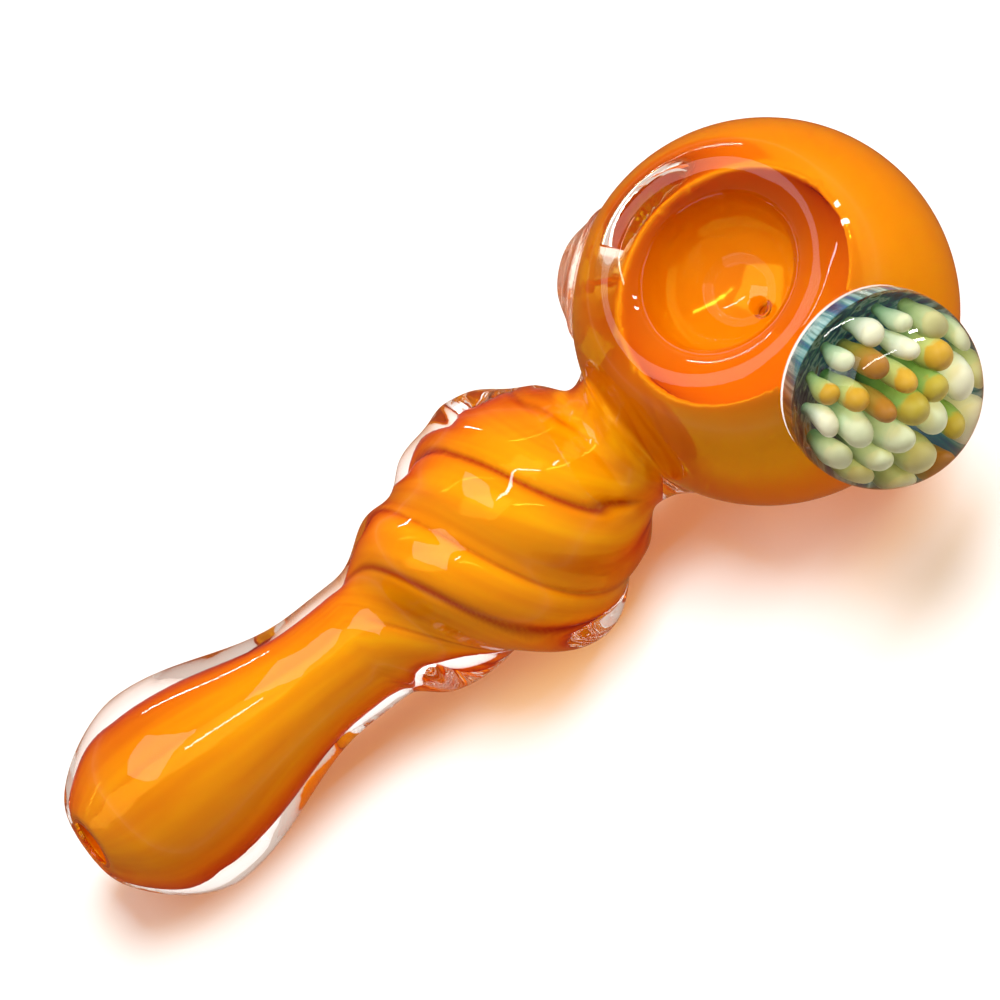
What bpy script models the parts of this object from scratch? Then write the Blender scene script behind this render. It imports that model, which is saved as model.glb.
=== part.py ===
"""Hand-blown glass spoon pipe: clear casing over an amber lining, with a flower marble on its right.

+X runs from the mouthpiece to the head, +Y is the pipe's left (carb side) and +Z is up, out of the
bowl. The origin is the centre of the ground foot under the head. Every length is in metres.
"""

import math
import random

import bpy
from mathutils import Vector

GAP = 0.0003

# Head: a ball with a bowl pushed into its top and a flat foot ground on its underside.
HEAD_RADIUS = 0.0198
HEAD_HEIGHT = 0.0189
LIP_RADIUS = 0.0038
BOWL_RADIUS = 0.0077
BOWL_FLOOR = 0.0020
BOWL_WALL = 0.0040
FLOOR_WALL = 0.0020
CHAMBER_RADIUS = 0.0158
LINING_WALL = 0.0010
DRAW_HOLE_RADIUS = 0.0010
DRILL_OVERSHOOT = 0.0015
HEAD_SEGMENTS = 32
BALL_STEPS = 14
LIP_STEPS = 10
BOWL_STEPS = 7
CHAMBER_BALL_STEPS = 12
CHAMBER_BOWL_STEPS = 6

# Handle: stations along X and the radius of the clear glass at each, below the ridges of the twist.
TIP_X = -0.0925
TIP_RADIUS = 0.0042
BULB_X = -0.0814
BULB_RADIUS = 0.0118
BULB_POWER = 1.55
WAIST_X = -0.0600
WAIST_RADIUS = 0.0071
TWIST_START_X = -0.0545
TWIST_CREST_X = -0.0330
TWIST_RADIUS = 0.0120
NECK_X = -0.0215
NECK_RADIUS = 0.0074
FLARE_X = -0.0150
FLARE_RADIUS = 0.0124
HANDLE_END_X = -0.0120

# Amber tube inside the handle, as its outside radius at the same stations.
CORE_TIP_RADIUS = 0.0032
CORE_BULB_RADIUS = 0.0065
CORE_WAIST_RADIUS = 0.0040
CORE_TWIST_RADIUS = 0.0078
CORE_NECK_RADIUS = 0.0050
BORE_TIP_RADIUS = 0.0025
BORE_TWIST_RADIUS = 0.0050

# Centre line: it falls from the head to the bulb, so that the bulb rests on the table too. The
# tip turns up, and its open end tilts back.
AXIS_HEIGHT = 0.01612
AXIS_SLOPE = 0.0527
TIP_RISE = 0.0012
TIP_LEAN = 0.0006
TIP_TILT = math.tan(math.radians(27))
TIP_FACING = (-0.43, 0.90)

# Twist: four ridges wind right-handed round the handle, each as (share of a turn, half of its
# width as a share of a turn, height, where it starts, where it has its full height).
PITCH = 0.0308
PHASE_X = -0.0504
PHASE_ANGLE = math.radians(26)
RIDGES = (
    (0.00, 0.27, 0.0029, -0.0540, -0.0440),
    (0.31, 0.18, 0.0020, -0.0470, -0.0400),
    (0.54, 0.25, 0.0024, -0.0560, -0.0500),
    (0.75, 0.20, 0.0019, -0.0360, -0.0300),
)
RIDGES_FADE_X = -0.0250
CORE_RIDGE_SHARE = 0.4
CASING_SIDES = 28
CORE_SIDES = 20
BORE_SIDES = 12
BULB_STEPS = 8
NECK_STEPS = 4
BEYOND_TIP = 0.0010

# Carb hole on the left, with a low clear ring round it.
CARB_DIRECTION = Vector((-0.65, 0.72, 0.14)).normalized()
CARB_RADIUS = 0.0022
CARB_RING_INNER = 0.0026
CARB_RING_OUTER = 0.0072
CARB_RING_HEIGHT = 0.0020
CARB_RING_EDGE = 0.0004
CARB_RING_STEPS = 5
RING_SEGMENTS = 28
HOLE_SEGMENTS = 16

# Marble on the right: distances along its axis are measured from the centre of the head.
MARBLE_DIRECTION = Vector((0.321, -0.882, 0.346)).normalized()
MARBLE_RADIUS = 0.0101
MARBLE_CENTRE = 0.0209
MARBLE_SEAT = 0.0172
SEAT_CUTTER_RADIUS = 0.0140
MARBLE_BACK = MARBLE_SEAT + GAP
POCKET_RADIUS = 0.0076
POCKET_SHOULDER = 0.0217
POCKET_TOP = 0.0275
POCKET_STEPS = 7
LENS_STEPS = 12
BACKING_THICKNESS = 0.0006
BACKING_RADIUS = POCKET_RADIUS - GAP

# Flower: rings of petals as (count, root distance from the axis, lean of the tip).
PETAL_RINGS = (
    (1, 0.0, math.radians(0)),
    (5, 0.0019, math.radians(19)),
    (9, 0.0036, math.radians(38)),
    (13, 0.0054, math.radians(57)),
)
PETAL_HUB = 0.0188
PETAL_LIFT = 0.00075
PETAL_ROOT_RADIUS = 0.00050
PETAL_RADIUS = 0.00095
PETAL_REACH = 0.0073
PETAL_SHORTEST = 0.93
PETAL_SIDES = 8

# Petal's stem as (share of its length, radius as a share of the root's), then its round end.
PETAL_STEM = ((0.0, 0.75), (0.10, 1.0), (0.45, 1.35))
PETAL_SHOULDER = 0.5
PETAL_END_TURNS = (0, 35, 65)


def clear_scene():
    for obj in list(bpy.data.objects):
        bpy.data.objects.remove(obj, do_unlink=True)


def material(name, colour, transmission, roughness):
    made = bpy.data.materials.new(name)
    made.use_nodes = True
    shader = made.node_tree.nodes["Principled BSDF"]
    shader.inputs["Base Color"].default_value = (*colour, 1.0)
    shader.inputs["Transmission Weight"].default_value = transmission
    shader.inputs["Roughness"].default_value = roughness
    shader.inputs["IOR"].default_value = 1.5
    made.diffuse_color = (*colour, 1.0)
    return made


def clear_glass():
    return material("clear_glass", (0.97, 0.98, 0.97), 1.0, 0.02)


def amber_glass():
    return material("amber_glass", (0.95, 0.38, 0.02), 0.4, 0.10)


def ring_glass():
    return material("carb_glass", (0.96, 0.90, 0.84), 1.0, 0.03)


def marble_glass():
    return material("marble_glass", (0.98, 0.99, 0.99), 1.0, 0.01)


def backing_glass():
    return material("backing_glass", (0.02, 0.16, 0.24), 0.0, 0.15)


def petal_glass(ring):
    """Mint at the middle of the flower, turning to cream at its outer ring."""
    blend = ring / (len(PETAL_RINGS) - 1)
    colour = (0.50 + 0.32 * blend, 0.72 + 0.10 * blend, 0.48 + 0.12 * blend)
    return material(f"petal_glass_{ring}", colour, 0.0, 0.20)


def add_object(name, points, faces, look=None):
    mesh = bpy.data.meshes.new(name)
    mesh.from_pydata([tuple(p) for p in points], [], faces)
    mesh.polygons.foreach_set("use_smooth", [True] * len(mesh.polygons))
    mesh.update()
    obj = bpy.data.objects.new(name, mesh)
    bpy.context.scene.collection.objects.link(obj)
    if look:
        mesh.materials.append(look)
    return obj


def hide_helper(obj):
    obj.hide_render = True
    obj.display_type = "WIRE"
    return obj


def boolean(obj, other, operation):
    modifier = obj.modifiers.new(f"{operation.lower()}_{other.name}", "BOOLEAN")
    modifier.operation = operation
    modifier.solver = "EXACT"
    modifier.object = hide_helper(other)


def frame_along(direction):
    """Two directions across the one given, so that the three make a right-handed frame."""
    helper = Vector((0, 0, 1)) if abs(direction.z) < 0.9 else Vector((1, 0, 0))
    across = helper.cross(direction).normalized()
    return across, direction.cross(across)


def revolve(name, profile, segments, centre, direction, look=None):
    """Turns a profile of (distance from the axis, distance along it) points round the axis.

    The profile starts and ends on the axis, or closes on itself, and runs up the outer side.
    """
    across, beyond = frame_along(direction)
    points = []
    rows = []
    for radius, along in profile:
        if radius == 0:
            rows.append([len(points)] * segments)
            points.append(centre + direction * along)
            continue
        rows.append(list(range(len(points), len(points) + segments)))
        for step in range(segments):
            angle = math.tau * step / segments
            spoke = across * math.cos(angle) + beyond * math.sin(angle)
            points.append(centre + spoke * radius + direction * along)
    if profile[0][0] != 0:
        rows.append(rows[0])
    faces = []
    for low, high in zip(rows, rows[1:]):
        for step in range(segments):
            after = (step + 1) % segments
            corners = [low[step], low[after], high[after], high[step]]
            faces.append(list(dict.fromkeys(corners)))
    return add_object(name, points, faces, look)


def loft(name, rings, look=None):
    """Joins rings of equal length, counted anticlockwise seen from the last ring, with flat ends."""
    sides = len(rings[0])
    points = [point for ring in rings for point in ring]
    faces = [list(range(sides))[::-1]]
    for row in range(len(rings) - 1):
        for step in range(sides):
            a = row * sides + step
            b = row * sides + (step + 1) % sides
            faces.append([a, b, b + sides])
            faces.append([a, b + sides, a + sides])
    last = (len(rings) - 1) * sides
    faces.append(list(range(last, last + sides)))
    return add_object(name, points, faces, look)


def ease(value, start, end):
    """0 before start, 1 after end, and half a cosine wave between."""
    part = min(1.0, max(0.0, (value - start) / (end - start)))
    return 0.5 - 0.5 * math.cos(math.pi * part)


def blend(a, b, amount):
    return a + (b - a) * amount


def arc(centre, radius, start, end, count):
    """Points of an arc in profile coordinates, from the start angle to the end angle."""
    points = []
    for step in range(count + 1):
        angle = blend(start, end, step / count)
        points.append((centre[0] + radius * math.cos(angle), centre[1] + radius * math.sin(angle)))
    return points


# --- Head profiles ---


def lip_centre():
    """Centre of the rounded lip, which touches the ball from inside."""
    across = BOWL_RADIUS + LIP_RADIUS
    return across, math.sqrt((HEAD_RADIUS - LIP_RADIUS) ** 2 - across**2)


def bowl_curve(beside, below, start, end, count):
    """Points on the bowl's ellipse, pushed out beside and below it. Angle -90 degrees is its floor."""
    top = lip_centre()[1]
    points = []
    for step in range(count + 1):
        angle = blend(start, end, step / count)
        across = (BOWL_RADIUS + beside) * math.cos(angle)
        points.append((across, top + (top - BOWL_FLOOR + below) * math.sin(angle)))
    return points


def head_outer_profile():
    """Foot, ball, rounded lip and bowl, from the bottom of the axis back up to the bowl's floor."""
    foot_angle = -math.asin(HEAD_HEIGHT / HEAD_RADIUS)
    lip = lip_centre()
    lip_angle = math.atan2(lip[1], lip[0])
    return (
        [(0, -HEAD_HEIGHT)]
        + arc((0, 0), HEAD_RADIUS, foot_angle, lip_angle, BALL_STEPS)
        + arc(lip, LIP_RADIUS, lip_angle, math.pi, LIP_STEPS)[1:]
        + bowl_curve(0, 0, 0, -math.pi / 2, BOWL_STEPS)[1:-1]
        + [(0, BOWL_FLOOR)]
    )


def bowl_meets_ball(beside, below, radius):
    """Angle on the bowl's ellipse, pushed out beside and below it, where it comes inside the ball."""
    low = -math.pi / 2
    high = 0.0
    while high - low > math.radians(0.001):
        middle = (low + high) / 2
        if math.hypot(*bowl_curve(beside, below, middle, middle, 1)[0]) > radius:
            high = middle
        else:
            low = middle
    return low


def chamber_profile(inset):
    """Space between the ball and the glass round the bowl, shrunk by the inset on every side."""
    radius = CHAMBER_RADIUS - inset
    beside = BOWL_WALL + inset
    below = FLOOR_WALL + inset
    meeting = bowl_meets_ball(beside, below, radius)
    rim = bowl_curve(beside, below, meeting, meeting, 1)[0]
    rim_angle = math.atan2(rim[1], rim[0])
    ball = arc((0, 0), radius, -math.pi / 2, rim_angle, CHAMBER_BALL_STEPS)
    floor = bowl_curve(beside, below, meeting, -math.pi / 2, CHAMBER_BOWL_STEPS)
    return [(0, -radius)] + ball[1:] + floor[1:-1] + [(0, floor[-1][1])]


# --- Handle sections ---


def tip_share(x):
    """0 at the bulb and 1 at the tip."""
    return max(0.0, (BULB_X - x) / (BULB_X - TIP_X)) ** 2


def axis_point(x):
    """Centre of the handle's section at x."""
    y = TIP_LEAN * tip_share(x)
    z = AXIS_HEIGHT + AXIS_SLOPE * x + TIP_RISE * tip_share(x)
    return y, blend(z, HEAD_HEIGHT, ease(x, NECK_X, HANDLE_END_X))


def bulb_swell(x):
    """0 at the tip and 1 at the widest part of the mouthpiece bulb."""
    part = min(1.0, max(0.0, (BULB_X - x) / (BULB_X - TIP_X)))
    return max(0.0, 1 - part**BULB_POWER) ** (1 / BULB_POWER)


def plain_radius(x, tip, bulb, waist, twist, neck):
    """Radius at x of a tube that swells at the bulb and at the twist."""
    if x < BULB_X:
        return blend(tip, bulb, bulb_swell(x))
    if x < WAIST_X:
        return blend(bulb, waist, ease(x, BULB_X, WAIST_X))
    if x < TWIST_CREST_X:
        return blend(waist, twist, ease(x, TWIST_START_X, TWIST_CREST_X))
    return blend(twist, neck, ease(x, TWIST_CREST_X, NECK_X))


def ridge_height(x, angle):
    """Height of the twist's ridges at this place."""
    phase = (x - PHASE_X) / PITCH - (angle - PHASE_ANGLE) / math.tau
    total = 0.0
    for place, half_width, height, start, full in RIDGES:
        apart = abs((phase - place + 0.5) % 1.0 - 0.5) / half_width
        if apart < 1:
            rise = ease(x, start, full) * (1 - ease(x, RIDGES_FADE_X, NECK_X))
            total += height * rise * (0.5 + 0.5 * math.cos(math.pi * apart))
    return total


def casing_radius(x, angle):
    if x > NECK_X:
        flare = min(1.0, (x - NECK_X) / (FLARE_X - NECK_X))
        return NECK_RADIUS + (FLARE_RADIUS - NECK_RADIUS) * flare**2
    radius = plain_radius(x, TIP_RADIUS, BULB_RADIUS, WAIST_RADIUS, TWIST_RADIUS, NECK_RADIUS)
    return radius + ridge_height(x, angle)


def core_radius(x, angle):
    """Outside of the amber tube."""
    radius = plain_radius(
        x, CORE_TIP_RADIUS, CORE_BULB_RADIUS, CORE_WAIST_RADIUS, CORE_TWIST_RADIUS, CORE_NECK_RADIUS
    )
    return radius + CORE_RIDGE_SHARE * ridge_height(x, angle)


def bore_radius(x, angle):
    """Air channel: a wall inside the amber tube, and a smooth round passage through the twist."""
    return plain_radius(
        x,
        BORE_TIP_RADIUS,
        CORE_BULB_RADIUS - LINING_WALL,
        CORE_WAIST_RADIUS - LINING_WALL,
        BORE_TWIST_RADIUS,
        CORE_NECK_RADIUS - LINING_WALL,
    )


def section(x, sides, radius_at, grow):
    y, z = axis_point(x)
    tilt = TIP_TILT * tip_share(x)
    ring = []
    for step in range(sides):
        angle = math.tau * step / sides
        radius = radius_at(x, angle) + grow
        across = radius * math.cos(angle)
        above = radius * math.sin(angle)
        back = tilt * (across * TIP_FACING[0] + above * TIP_FACING[1])
        ring.append((x + back, y + across, z + above))
    return ring


def stations(sides, beyond_tip):
    """Places of the sections: close at the tip, then one step of the twist's pitch per side."""
    places = [TIP_X - beyond_tip] if beyond_tip else []
    for step in range(BULB_STEPS + 1):
        turn = math.pi / 2 * step / BULB_STEPS
        places.append(BULB_X - (BULB_X - TIP_X) * math.cos(turn))
    for step in range(1, BULB_STEPS + 1):
        places.append(blend(BULB_X, TWIST_START_X, step / BULB_STEPS))
    count = round((NECK_X - TWIST_START_X) / (PITCH / sides))
    for step in range(1, count + 1):
        places.append(TWIST_START_X + step * PITCH / sides)
    last = places[-1]
    for step in range(1, NECK_STEPS + 1):
        places.append(blend(last, HANDLE_END_X, step / NECK_STEPS))
    return places


def handle_tube(name, sides, radius_at, grow=0.0, beyond_tip=0.0):
    return loft(name, [section(x, sides, radius_at, grow) for x in stations(sides, beyond_tip)])


# --- Glass body ---


def head_centre():
    return Vector((0, 0, HEAD_HEIGHT))


def rod(name, centre, direction, radius, start, end, segments):
    profile = [(0, start), (radius, start), (radius, end), (0, end)]
    return revolve(name, profile, segments, centre, direction)


def head_body(name, profile, look=None):
    return revolve(name, profile, HEAD_SEGMENTS, head_centre(), Vector((0, 0, 1)), look)


def drill_holes(obj, label):
    """Draw hole through the bowl's floor and carb hole through the left of the head."""
    below = BOWL_FLOOR - FLOOR_WALL - GAP - LINING_WALL - DRILL_OVERSHOOT
    draw = rod(f"cut_draw_{label}", head_centre(), Vector((0, 0, 1)), DRAW_HOLE_RADIUS,
               below, BOWL_FLOOR + DRILL_OVERSHOOT, HOLE_SEGMENTS)
    inside = CHAMBER_RADIUS - GAP - LINING_WALL - DRILL_OVERSHOOT
    carb = rod(f"cut_carb_{label}", head_centre(), CARB_DIRECTION, CARB_RADIUS,
               inside, HEAD_RADIUS + DRILL_OVERSHOOT, HOLE_SEGMENTS)
    boolean(obj, draw, "DIFFERENCE")
    boolean(obj, carb, "DIFFERENCE")


def make_casing():
    casing = head_body("clear_casing", head_outer_profile(), clear_glass())
    boolean(casing, handle_tube("join_handle", CASING_SIDES, casing_radius), "UNION")
    boolean(casing, head_body("cut_chamber", chamber_profile(0)), "DIFFERENCE")
    core = handle_tube("cut_core", CORE_SIDES, core_radius, grow=GAP, beyond_tip=BEYOND_TIP)
    boolean(casing, core, "DIFFERENCE")
    seat = rod("cut_marble_seat", head_centre(), MARBLE_DIRECTION, SEAT_CUTTER_RADIUS,
               MARBLE_SEAT, HEAD_RADIUS + DRILL_OVERSHOOT, RING_SEGMENTS)
    boolean(casing, seat, "DIFFERENCE")
    drill_holes(casing, "casing")


def make_lining():
    lining = head_body("amber_lining", chamber_profile(GAP), amber_glass())
    boolean(lining, handle_tube("join_core", CORE_SIDES, core_radius), "UNION")
    air = head_body("cut_air_chamber", chamber_profile(GAP + LINING_WALL))
    boolean(lining, air, "DIFFERENCE")
    bore = handle_tube("cut_bore", BORE_SIDES, bore_radius, beyond_tip=BEYOND_TIP)
    boolean(lining, bore, "DIFFERENCE")
    drill_holes(lining, "lining")


def make_carb_ring():
    """Low clear ring that stands on the ball round the carb hole."""
    seat = HEAD_RADIUS + GAP
    base = []
    top = []
    for step in range(CARB_RING_STEPS + 1):
        share = step / CARB_RING_STEPS
        radius = blend(CARB_RING_OUTER, CARB_RING_INNER, share)
        height = math.sqrt(seat**2 - radius**2)
        swell = math.sin(math.pi / 2 * share) ** 2
        base.append((radius, height))
        top.append((radius, height + blend(CARB_RING_EDGE, CARB_RING_HEIGHT, swell)))
    profile = base[::-1] + top
    revolve("carb_ring", profile, RING_SEGMENTS, head_centre(), CARB_DIRECTION, ring_glass())


# --- Marble ---


def make_marble_lens():
    """Most of a clear ball, flat at the back, with a pocket for the flower that opens there."""
    edge = math.asin((MARBLE_BACK - MARBLE_CENTRE) / MARBLE_RADIUS)
    ball = arc((0, MARBLE_CENTRE), MARBLE_RADIUS, edge, math.pi / 2, LENS_STEPS)
    pocket = [(POCKET_RADIUS, MARBLE_BACK)]
    for step in range(POCKET_STEPS):
        turn = math.pi / 2 * step / POCKET_STEPS
        height = (POCKET_TOP - POCKET_SHOULDER) * math.sin(turn)
        pocket.append((POCKET_RADIUS * math.cos(turn), POCKET_SHOULDER + height))
    outline = [(0, POCKET_TOP)] + pocket[::-1] + ball[:-1] + [(0, MARBLE_CENTRE + MARBLE_RADIUS)]
    revolve("marble_lens", outline, RING_SEGMENTS, head_centre(), MARBLE_DIRECTION, marble_glass())


def make_backing():
    top = MARBLE_BACK + BACKING_THICKNESS
    profile = [(0, MARBLE_BACK), (BACKING_RADIUS, MARBLE_BACK), (BACKING_RADIUS, top), (0, top)]
    revolve("marble_backing", profile, RING_SEGMENTS, head_centre(), MARBLE_DIRECTION, backing_glass())


def petal_rings(root, tip):
    """Rings along a rod that swells from its root to a round end."""
    path = tip - root
    length = path.length
    direction = path / length
    across, beyond = frame_along(direction)
    rows = [(share * length, PETAL_ROOT_RADIUS * size) for share, size in PETAL_STEM]
    rows.append((length - PETAL_RADIUS * PETAL_SHOULDER, PETAL_RADIUS))
    for degrees in PETAL_END_TURNS:
        turn = math.radians(degrees)
        rows.append((length + PETAL_RADIUS * math.sin(turn), PETAL_RADIUS * math.cos(turn)))
    rings = []
    for along, radius in rows:
        ring = []
        for step in range(PETAL_SIDES):
            angle = math.tau * step / PETAL_SIDES
            spoke = across * math.cos(angle) + beyond * math.sin(angle)
            ring.append(root + direction * along + spoke * radius)
        rings.append(ring)
    return rings


def make_petals():
    across, beyond = frame_along(MARBLE_DIRECTION)
    base = head_centre() + MARBLE_DIRECTION * (MARBLE_BACK + BACKING_THICKNESS + PETAL_LIFT)
    hub = head_centre() + MARBLE_DIRECTION * PETAL_HUB
    chance = random.Random(5)
    number = 0
    for ring, (count, root_distance, lean) in enumerate(PETAL_RINGS):
        look = petal_glass(ring)
        offset = chance.random()
        for step in range(count):
            number += 1
            angle = math.tau * (step + offset) / count
            spoke = across * math.cos(angle) + beyond * math.sin(angle)
            reach = PETAL_REACH * chance.uniform(PETAL_SHORTEST, 1.0)
            root = base + spoke * root_distance
            tip = hub + (MARBLE_DIRECTION * math.cos(lean) + spoke * math.sin(lean)) * reach
            loft(f"petal_{number:02d}", petal_rings(root, tip), look)


def main():
    clear_scene()
    make_casing()
    make_lining()
    make_carb_ring()
    make_marble_lens()
    make_backing()
    make_petals()


main()
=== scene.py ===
import math
import random

import bpy
from mathutils import Matrix, Vector


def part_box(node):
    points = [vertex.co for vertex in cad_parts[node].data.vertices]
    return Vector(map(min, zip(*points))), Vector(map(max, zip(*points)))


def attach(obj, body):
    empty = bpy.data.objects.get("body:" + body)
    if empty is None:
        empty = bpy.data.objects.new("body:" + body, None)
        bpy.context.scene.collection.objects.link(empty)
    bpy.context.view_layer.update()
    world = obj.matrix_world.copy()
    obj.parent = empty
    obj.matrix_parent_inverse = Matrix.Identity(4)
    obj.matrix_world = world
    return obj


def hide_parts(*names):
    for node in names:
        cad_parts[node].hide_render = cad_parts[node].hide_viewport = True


# Looks of the glass spoon pipe: clear glass over an amber lining, and a marble with a flower
# in it. Every length is in metres, in the frame of the CAD model: +X runs from the mouthpiece
# to the head, +Y is the carb side and +Z is up. Each glass piece is built here again with fine,
# smooth surfaces, at the place and size of the CAD node that it replaces. Touching glass is
# built without the gap of the CAD, so that light crosses a joint as it does in fused glass.

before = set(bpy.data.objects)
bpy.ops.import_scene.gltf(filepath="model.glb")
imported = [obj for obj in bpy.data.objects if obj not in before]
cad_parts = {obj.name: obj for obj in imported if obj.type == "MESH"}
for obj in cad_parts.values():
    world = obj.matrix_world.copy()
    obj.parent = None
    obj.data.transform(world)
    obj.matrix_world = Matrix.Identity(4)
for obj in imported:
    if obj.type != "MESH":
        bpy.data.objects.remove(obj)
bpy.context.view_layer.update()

# ---------------------------------------------------------------- sizes

CASING_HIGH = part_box("clear_casing")[1]
UP = Vector((0, 0, 1))
GAP = 0.0003

# Head, round the Z axis.
HEAD_RADIUS = CASING_HIGH.x
HEAD_HEIGHT = 0.0189
HEAD_CENTRE = Vector((0, 0, HEAD_HEIGHT))
LIP_RADIUS = 0.0038
BOWL_RADIUS = 0.0077
BOWL_FLOOR = 0.0020
BOWL_WALL = 0.0040
FLOOR_WALL = 0.0020
CHAMBER_RADIUS = 0.0158
LINING_WALL = 0.0010
DRAW_HOLE_RADIUS = 0.0010
DRAW_HOLE_SPAN = (-0.0040, BOWL_FLOOR + 0.0020)

# Handle, along X, with radii of the clear glass, of the amber inside it and of the air channel.
TIP_X = -0.0925
BULB_X = -0.0814
WAIST_X = -0.0600
TWIST_START_X = -0.0545
TWIST_CREST_X = -0.0330
NECK_X = -0.0215
FLARE_X = -0.0150
HANDLE_END_X = -0.0120
FLARE_RADIUS = 0.0124
BULB_POWER = 1.55
CLEAR = {"tip": 0.0042, "bulb": 0.0118, "waist": 0.0071, "twist": 0.0120, "neck": 0.0074}
AMBER = {"tip": 0.0032, "bulb": 0.0065, "waist": 0.0040, "twist": 0.0078, "neck": 0.0050}
BORE = {"tip": 0.0025, "bulb": 0.0055, "waist": 0.0030, "twist": 0.0050, "neck": 0.0040}
AXIS_HEIGHT = 0.01612
AXIS_SLOPE = 0.0527
TIP_RISE = 0.0012
TIP_LEAN = 0.0006
TIP_TILT = math.tan(math.radians(27))
TIP_FACING = (-0.43, 0.90)
LINING_TIP_X = TIP_X + 0.0004
CUTTER_TIP_X = TIP_X - 0.0015

# Twist, and its ridges: place and half width in turns, height, and where each starts and is full.
PITCH = 0.0308
PHASE_X = -0.0504
PHASE_ANGLE = math.radians(26)
RIDGES = (
    (0.00, 0.27, 0.0029, -0.0540, -0.0440),
    (0.31, 0.18, 0.0020, -0.0470, -0.0400),
    (0.54, 0.25, 0.0024, -0.0560, -0.0500),
    (0.75, 0.20, 0.0019, -0.0360, -0.0300),
)
RIDGES_FADE_X = -0.0250
# How far the amber follows each ridge.
AMBER_SHARES = (1.05, 0.75, 0.40, 0.25)
WHOLE = (1.0, 1.0, 1.0, 1.0)

# Creases of the amber, where the twist folds it: place and half width in turns, depth and
# darkness of the shade painted along them, and where they start and end.
CREASES = (
    (-0.03, 0.024, 0.00035, 1.0),
    (0.147, 0.020, 0.00050, 0.5),
    (0.444, 0.024, 0.00070, 1.0),
    (0.72, 0.020, 0.00050, 0.5),
)
CREASE_START = (-0.0560, -0.0480)
CREASE_END = (-0.0250, -0.0215)

# Streaks in the amber: how many wind round it, and how fast they change along it.
STREAKS = 2.2
STREAK_SHORTNESS = 45.0

# Marble, round its own axis from the centre of the head.
MARBLE_AXIS = Vector((0.321, -0.882, 0.346)).normalized()
MARBLE_RADIUS = 0.0101
MARBLE_CENTRE = 0.0209
MARBLE_SEAT = 0.0172
MARBLE_BACK = MARBLE_SEAT + GAP
SEAT_CUTTER_RADIUS = 0.0140
SEAT_SPAN = (MARBLE_SEAT, HEAD_RADIUS + 0.0020)
LENS_OVERLAP = 0.00025
BACKING_RISE = 0.0022
BACKING_THICKNESS = 0.00025
BACKING_CLEARANCE = 0.00025
BACKING_STREAKS = 1.6
BACKING_STREAK_SHORTNESS = 60
PETAL_RINGS = ((1, 0.0, 0), (5, 0.0019, 19), (9, 0.0036, 38), (13, 0.0054, 57))
PETAL_BASE = MARBLE_BACK + 0.00135
PETAL_HUB = 0.0188
PETAL_REACH = 0.0073
PETAL_SHORTEST = 0.93
PETAL_RADIUS = 0.00115
PETAL_BEND = 0.00035
PETAL_WIDTHS = (0.80, 1.22)
PETAL_FLATNESS = (0.88, 1.00)

# Carb hole and its ring.
CARB_AXIS = Vector((-0.65, 0.72, 0.14)).normalized()
CARB_RADIUS = 0.0022
CARB_RING_INNER = 0.0026
CARB_RING_OUTER = 0.0072
CARB_RING_HEIGHT = 0.0020
CARB_RING_EDGE = 0.0004
CARB_RING_SINK = 0.00002
CARB_HOLE_SPAN = (CHAMBER_RADIUS - 0.0040, HEAD_RADIUS + 0.0030)
LINING_HOLE_EXTRA = 0.0002

# Fineness of the visual meshes.
VOXEL = 0.00030
SMOOTHING = 8
CARB_RING_VOXEL = 0.00022
CARB_RING_SMOOTHING = 6
HEAD_SEGMENTS = 144
TUBE_SIDES = 112
TUBE_STEP = 0.00045
ARC_STEPS = 40
TIP_STEPS = 16
CARB_RING_STEPS = 24
BACKING_STEPS = 12
PETAL_SIDES = 24
PETAL_ROWS = 22

# Amber seen square on, from its dark streaks to its bright ones: in the bulb, where it is drawn
# out thin in the handle, and in the head.
DEEP_AMBER = ((0.30, (0.74, 0.35, 0.001)), (0.50, (0.83, 0.47, 0.001)), (0.72, (0.90, 0.62, 0.002)))
THIN_AMBER = ((0.30, (0.84, 0.46, 0.001)), (0.50, (0.93, 0.60, 0.001)), (0.72, (1.00, 0.78, 0.002)))
HEAD_AMBER = ((0.30, (0.62, 0.145, 0.0005)), (0.50, (0.67, 0.175, 0.0005)), (0.72, (0.73, 0.220, 0.001)))
# Painted shade: the deep red that the amber's colour turns to along the creases of the twist.
PAINTED_FOLD_SHADE = (0.42, 0.022, 0.001)
HANDLE_TINT = (0.83, 0.46, 0.04)
HEAD_TINT = (0.95, 0.84, 0.04)

# What each crossing of a surface leaves of the lamps' light.
AMBER_SHADE = (0.74, 0.50, 0.12)
BACKING_SHADE = (0.86, 0.76, 0.64)
PETAL_SHADE = (0.88, 0.83, 0.72)

# Clear glass.
GLASS_IOR = 1.48
CASING_TINT = (0.985, 0.99, 0.985)
# The carb ring is clear glass; its pink tint is a painted glow that stands for amber light on the floor
# beside it.
CARB_RING_GLOW_TINT = (1.0, 0.80, 0.68)
LENS_TINT = (0.99, 0.995, 0.99)

# Streaks of the marble's backing, on the far side and on the side of the handle.
BACKING_BLUES = (
    (0.30, (0.004, 0.018, 0.050)), (0.42, (0.010, 0.075, 0.170)), (0.50, (0.020, 0.160, 0.170)),
    (0.58, (0.250, 0.420, 0.400)), (0.66, (0.020, 0.110, 0.090)), (0.78, (0.150, 0.070, 0.020)),
)
BACKING_BROWNS = ((0.30, (0.05, 0.015, 0.004)), (0.55, (0.22, 0.07, 0.008)), (0.75, (0.50, 0.20, 0.02)))
BROWN_SIDE = (0.25, 0.75)

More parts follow.
